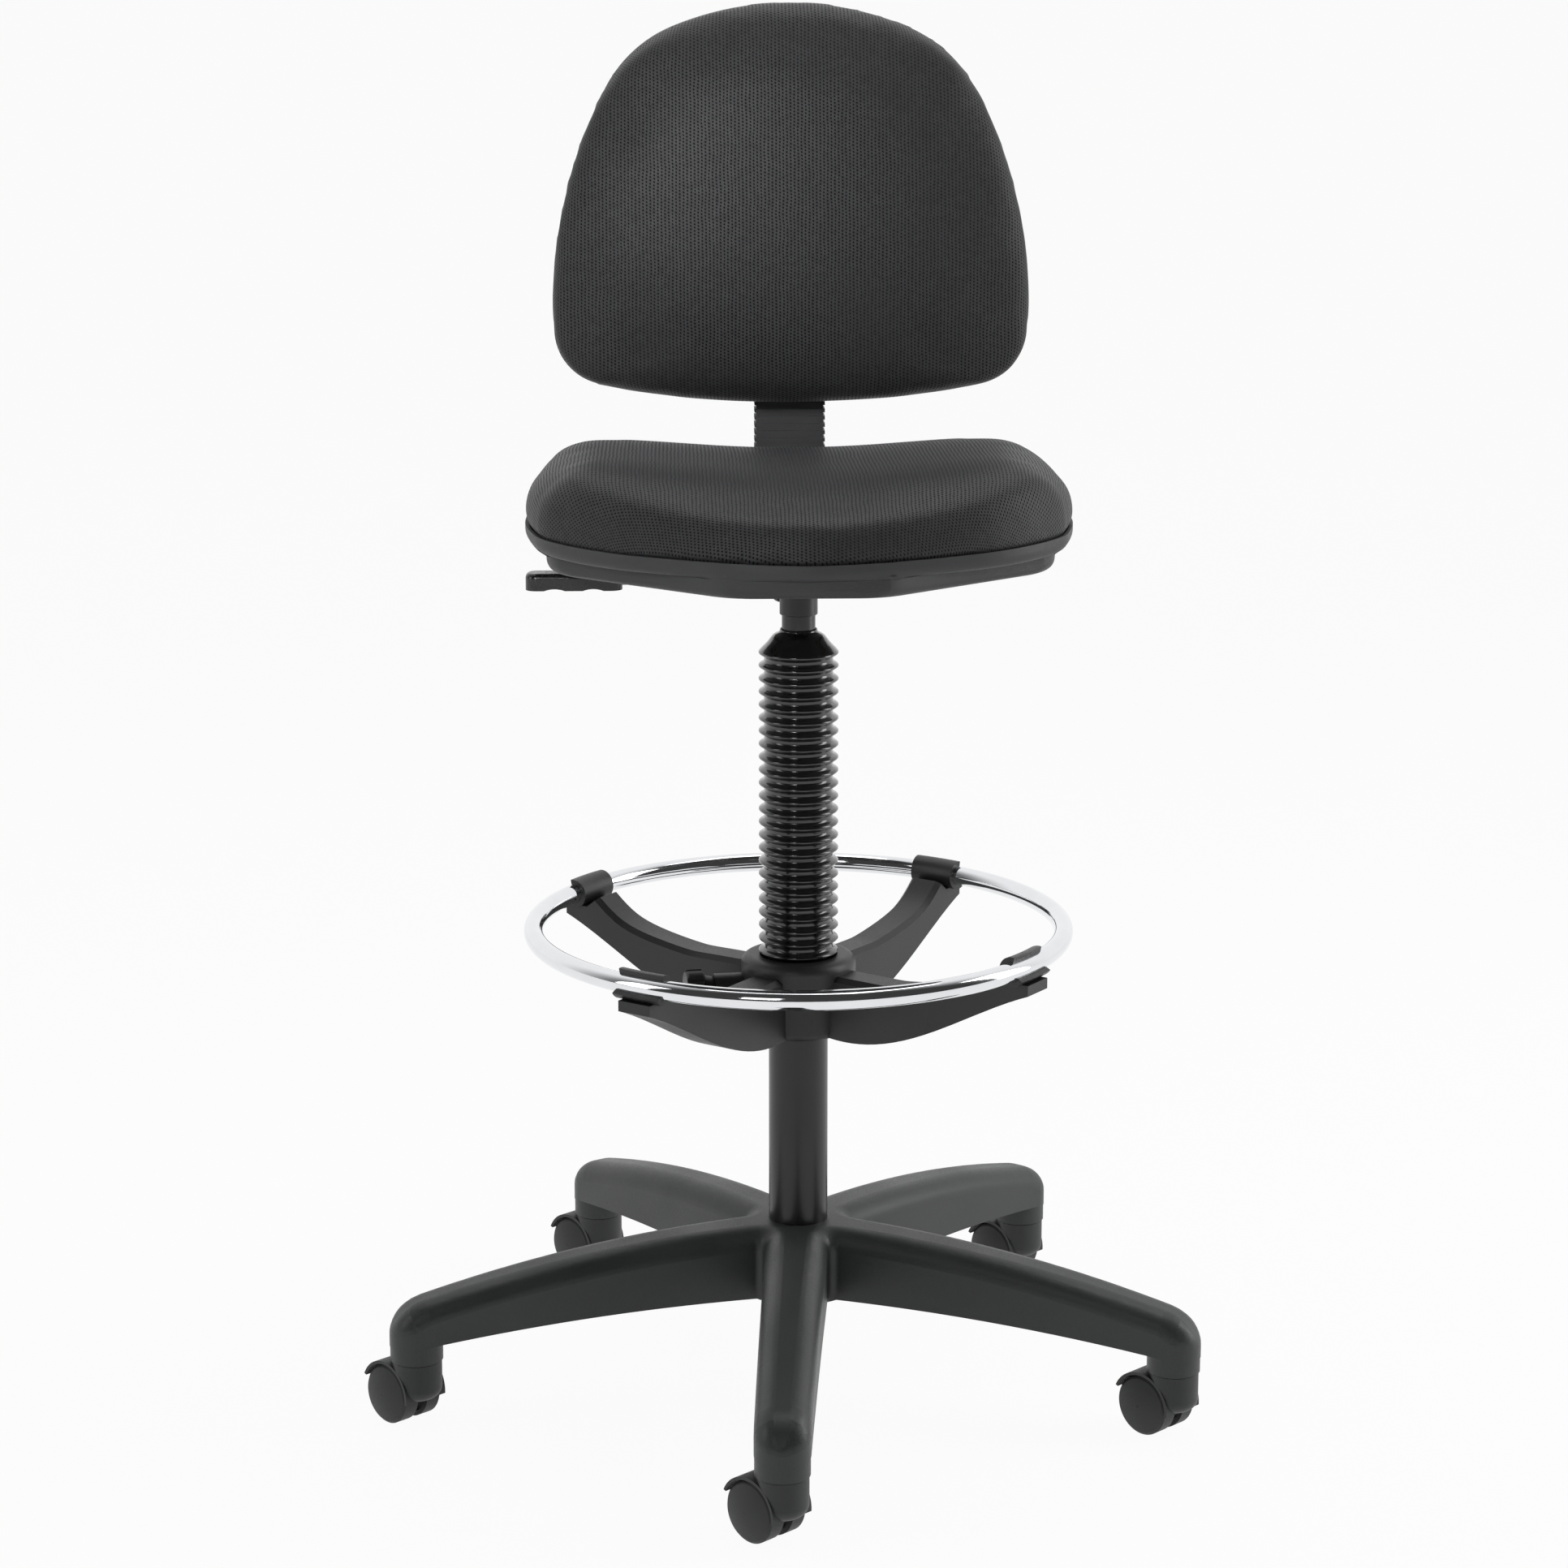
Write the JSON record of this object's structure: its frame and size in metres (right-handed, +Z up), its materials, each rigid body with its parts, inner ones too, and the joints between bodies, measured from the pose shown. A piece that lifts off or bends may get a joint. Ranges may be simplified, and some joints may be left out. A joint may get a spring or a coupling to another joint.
{
  "type": "drafting chair",
  "caption": "Tall swivel drafting chair with padded seat and back, gas column in a pleated boot, sliding foot ring, moulded star base and hooded twin-wheel casters.",
  "frame": {"origin": "on the floor, on the axis of the gas column", "axes": "+Z up, -Y the way the sitter faces, +X to the sitter's left"},
  "size_m": [0.6984, 0.6824, 1.1725],
  "materials": {
    "base_nylon": "satin, lightly textured black nylon",
    "caster_nylon": "satin black nylon",
    "wheel_nylon": "satin black nylon",
    "bright_steel": "plain machined steel",
    "column_black": "satin black powder coat",
    "guide_plastic": "plain black acetal",
    "bellows_black": "glossy black",
    "ring_chrome": "polished chrome",
    "spider_plastic": "satin black nylon",
    "knob_plastic": "satin black plastic",
    "steel_black": "satin black paint",
    "shell_plastic": "fine-grained charcoal plastic",
    "fabric": "woven near-black upholstery",
    "plywood": "raw plywood",
    "zinc": "zinc-plated steel",
    "lever_plastic": "glossy black plastic"
  },
  "bodies": {
    "base": {"base_star": "base_nylon", "column_tube": "column_black", "column_guide": "guide_plastic", "column_bearing": "bright_steel", "bellows": "bellows_black"},
    "foot_ring_assembly": {"foot_ring": "ring_chrome", "foot_ring_spider": "spider_plastic", "foot_ring_collet": "guide_plastic"},
    "foot_ring_clamp": {"foot_ring_knob": "knob_plastic", "foot_ring_stud": "zinc"},
    "column_rod": {"piston_rod": "bright_steel", "column_clip": "zinc"},
    "seat": {"gas_cylinder": "column_black", "taper_socket": "steel_black", "seat_mechanism": "steel_black", "bar_guide": "steel_black", "lever_pivot": "zinc", "seat_board": "plywood", "seat_shell": "shell_plastic", "seat_cushion": "fabric", "seat_bolts": "zinc", "shell_screws": "zinc"},
    "release_pin": {"valve_pin": "bright_steel"},
    "height_lever": {"lever_rod": "steel_black", "lever_paddle": "lever_plastic"},
    "depth_clamp": {"depth_knob": "knob_plastic"},
    "bar": {"back_bar": "steel_black", "bar_sleeve": "shell_plastic"},
    "back": {"back_bracket": "steel_black", "back_board": "plywood", "back_shell": "shell_plastic", "back_cushion": "fabric", "back_screws": "zinc"},
    "height_clamp": {"height_knob": "knob_plastic"},
    "caster_1": {"caster_1_hood": "caster_nylon", "caster_1_stem": "zinc", "caster_1_axle": "zinc"},
    "caster_1_left_wheel": {"caster_1_wheel_left": "wheel_nylon"},
    "caster_1_right_wheel": {"caster_1_wheel_right": "wheel_nylon"},
    "caster_2": {"caster_2_hood": "caster_nylon", "caster_2_stem": "zinc", "caster_2_axle": "zinc"},
    "caster_2_left_wheel": {"caster_2_wheel_left": "wheel_nylon"},
    "caster_2_right_wheel": {"caster_2_wheel_right": "wheel_nylon"},
    "caster_3": {"caster_3_hood": "caster_nylon", "caster_3_stem": "zinc", "caster_3_axle": "zinc"},
    "caster_3_left_wheel": {"caster_3_wheel_left": "wheel_nylon"},
    "caster_3_right_wheel": {"caster_3_wheel_right": "wheel_nylon"},
    "caster_4": {"caster_4_hood": "caster_nylon", "caster_4_stem": "zinc", "caster_4_axle": "zinc"},
    "caster_4_left_wheel": {"caster_4_wheel_left": "wheel_nylon"},
    "caster_4_right_wheel": {"caster_4_wheel_right": "wheel_nylon"},
    "caster_5": {"caster_5_hood": "caster_nylon", "caster_5_stem": "zinc", "caster_5_axle": "zinc"},
    "caster_5_left_wheel": {"caster_5_wheel_left": "wheel_nylon"},
    "caster_5_right_wheel": {"caster_5_wheel_right": "wheel_nylon"}
  },
  "joints": [
    {"name": "caster_1_swivel", "type": "hinge", "parent": "base", "child": "caster_1", "pos_m": [-0.02374, -0.33115, 0.057], "axis": [0, 0, 1], "continuous": true},
    {"name": "caster_1_left_roll", "type": "hinge", "parent": "caster_1", "child": "caster_1_left_wheel", "pos_m": [-0.03601, -0.31799, 0.025], "axis": [-0.7314, -0.682, 0], "continuous": true},
    {"name": "caster_1_right_roll", "type": "hinge", "parent": "caster_1", "child": "caster_1_right_wheel", "pos_m": [-0.03601, -0.31799, 0.025], "axis": [-0.7314, -0.682, 0], "continuous": true},
    {"name": "caster_2_swivel", "type": "hinge", "parent": "base", "child": "caster_2", "pos_m": [0.30761, -0.12491, 0.057], "axis": [0, 0, 1], "continuous": true},
    {"name": "caster_2_left_roll", "type": "hinge", "parent": "caster_2", "child": "caster_2_left_wheel", "pos_m": [0.29533, -0.11174, 0.025], "axis": [-0.7314, -0.682, 0], "continuous": true},
    {"name": "caster_2_right_roll", "type": "hinge", "parent": "caster_2", "child": "caster_2_right_wheel", "pos_m": [0.29533, -0.11174, 0.025], "axis": [-0.7314, -0.682, 0], "continuous": true},
    {"name": "caster_3_swivel", "type": "hinge", "parent": "base", "child": "caster_3", "pos_m": [0.21385, 0.25395, 0.057], "axis": [0, 0, 1], "continuous": true},
    {"name": "caster_3_left_roll", "type": "hinge", "parent": "caster_3", "child": "caster_3_left_wheel", "pos_m": [0.20157, 0.26712, 0.025], "axis": [-0.7314, -0.682, 0], "continuous": true},
    {"name": "caster_3_right_roll", "type": "hinge", "parent": "caster_3", "child": "caster_3_right_wheel", "pos_m": [0.20157, 0.26712, 0.025], "axis": [-0.7314, -0.682, 0], "continuous": true},
    {"name": "caster_4_swivel", "type": "hinge", "parent": "base", "child": "caster_4", "pos_m": [-0.17544, 0.28186, 0.057], "axis": [0, 0, 1], "continuous": true},
    {"name": "caster_4_left_roll", "type": "hinge", "parent": "caster_4", "child": "caster_4_left_wheel", "pos_m": [-0.18772, 0.29502, 0.025], "axis": [-0.7314, -0.682, 0], "continuous": true},
    {"name": "caster_4_right_roll", "type": "hinge", "parent": "caster_4", "child": "caster_4_right_wheel", "pos_m": [-0.18772, 0.29502, 0.025], "axis": [-0.7314, -0.682, 0], "continuous": true},
    {"name": "caster_5_swivel", "type": "hinge", "parent": "base", "child": "caster_5", "pos_m": [-0.32228, -0.07976, 0.057], "axis": [0, 0, 1], "continuous": true},
    {"name": "caster_5_left_roll", "type": "hinge", "parent": "caster_5", "child": "caster_5_left_wheel", "pos_m": [-0.33455, -0.06659, 0.025], "axis": [-0.7314, -0.682, 0], "continuous": true},
    {"name": "caster_5_right_roll", "type": "hinge", "parent": "caster_5", "child": "caster_5_right_wheel", "pos_m": [-0.33455, -0.06659, 0.025], "axis": [-0.7314, -0.682, 0], "continuous": true},
    {"name": "foot_ring_height", "type": "slide", "parent": "base", "child": "foot_ring_assembly", "axis": [0, 0, 1], "range_m": [-0.14, 0]},
    {"name": "foot_ring_clamp_turn", "type": "hinge", "parent": "foot_ring_assembly", "child": "foot_ring_clamp", "pos_m": [-0.0721, -0.01142, 0.355], "axis": [-0.9877, -0.1564, 0], "range_deg": [0, 270]},
    {"name": "seat_swivel", "type": "hinge", "parent": "base", "child": "column_rod", "pos_m": [0, 0, 0.0942], "axis": [0, 0, 1], "continuous": true},
    {"name": "seat_height", "type": "slide", "parent": "column_rod", "child": "seat", "axis": [0, 0, 1], "range_m": [-0.2, 0], "deforming": ["bellows"]},
    {"name": "height_lever_lift", "type": "hinge", "parent": "seat", "child": "height_lever", "pos_m": [-0.032, 0, 0.7273], "axis": [0, 1, 0], "range_deg": [0, 3], "stiffness_Nm_per_rad": 2},
    {"name": "release_pin_press", "type": "slide", "parent": "seat", "child": "release_pin", "axis": [0, 0, -1], "range_m": [0, 0.0018], "stiffness_N_per_m": 400},
    {"name": "depth_clamp_turn", "type": "hinge", "parent": "seat", "child": "depth_clamp", "pos_m": [0, 0.086, 0.7], "axis": [0, 0, -1], "range_deg": [0, 270]},
    {"name": "back_depth", "type": "slide", "parent": "seat", "child": "bar", "axis": [0, 1, 0], "range_m": [0, 0.05]},
    {"name": "back_height", "type": "slide", "parent": "bar", "child": "back", "axis": [0, 0, 1], "range_m": [0, 0.06]},
    {"name": "height_clamp_turn", "type": "hinge", "parent": "back", "child": "height_clamp", "pos_m": [0, 0.236, 0.946], "axis": [0, 1, 0], "range_deg": [0, 270]}
  ],
  "couplings": [
    {"joint": "release_pin_press", "follows": "height_lever_lift", "m_per_rad": 0.032}
  ]
}
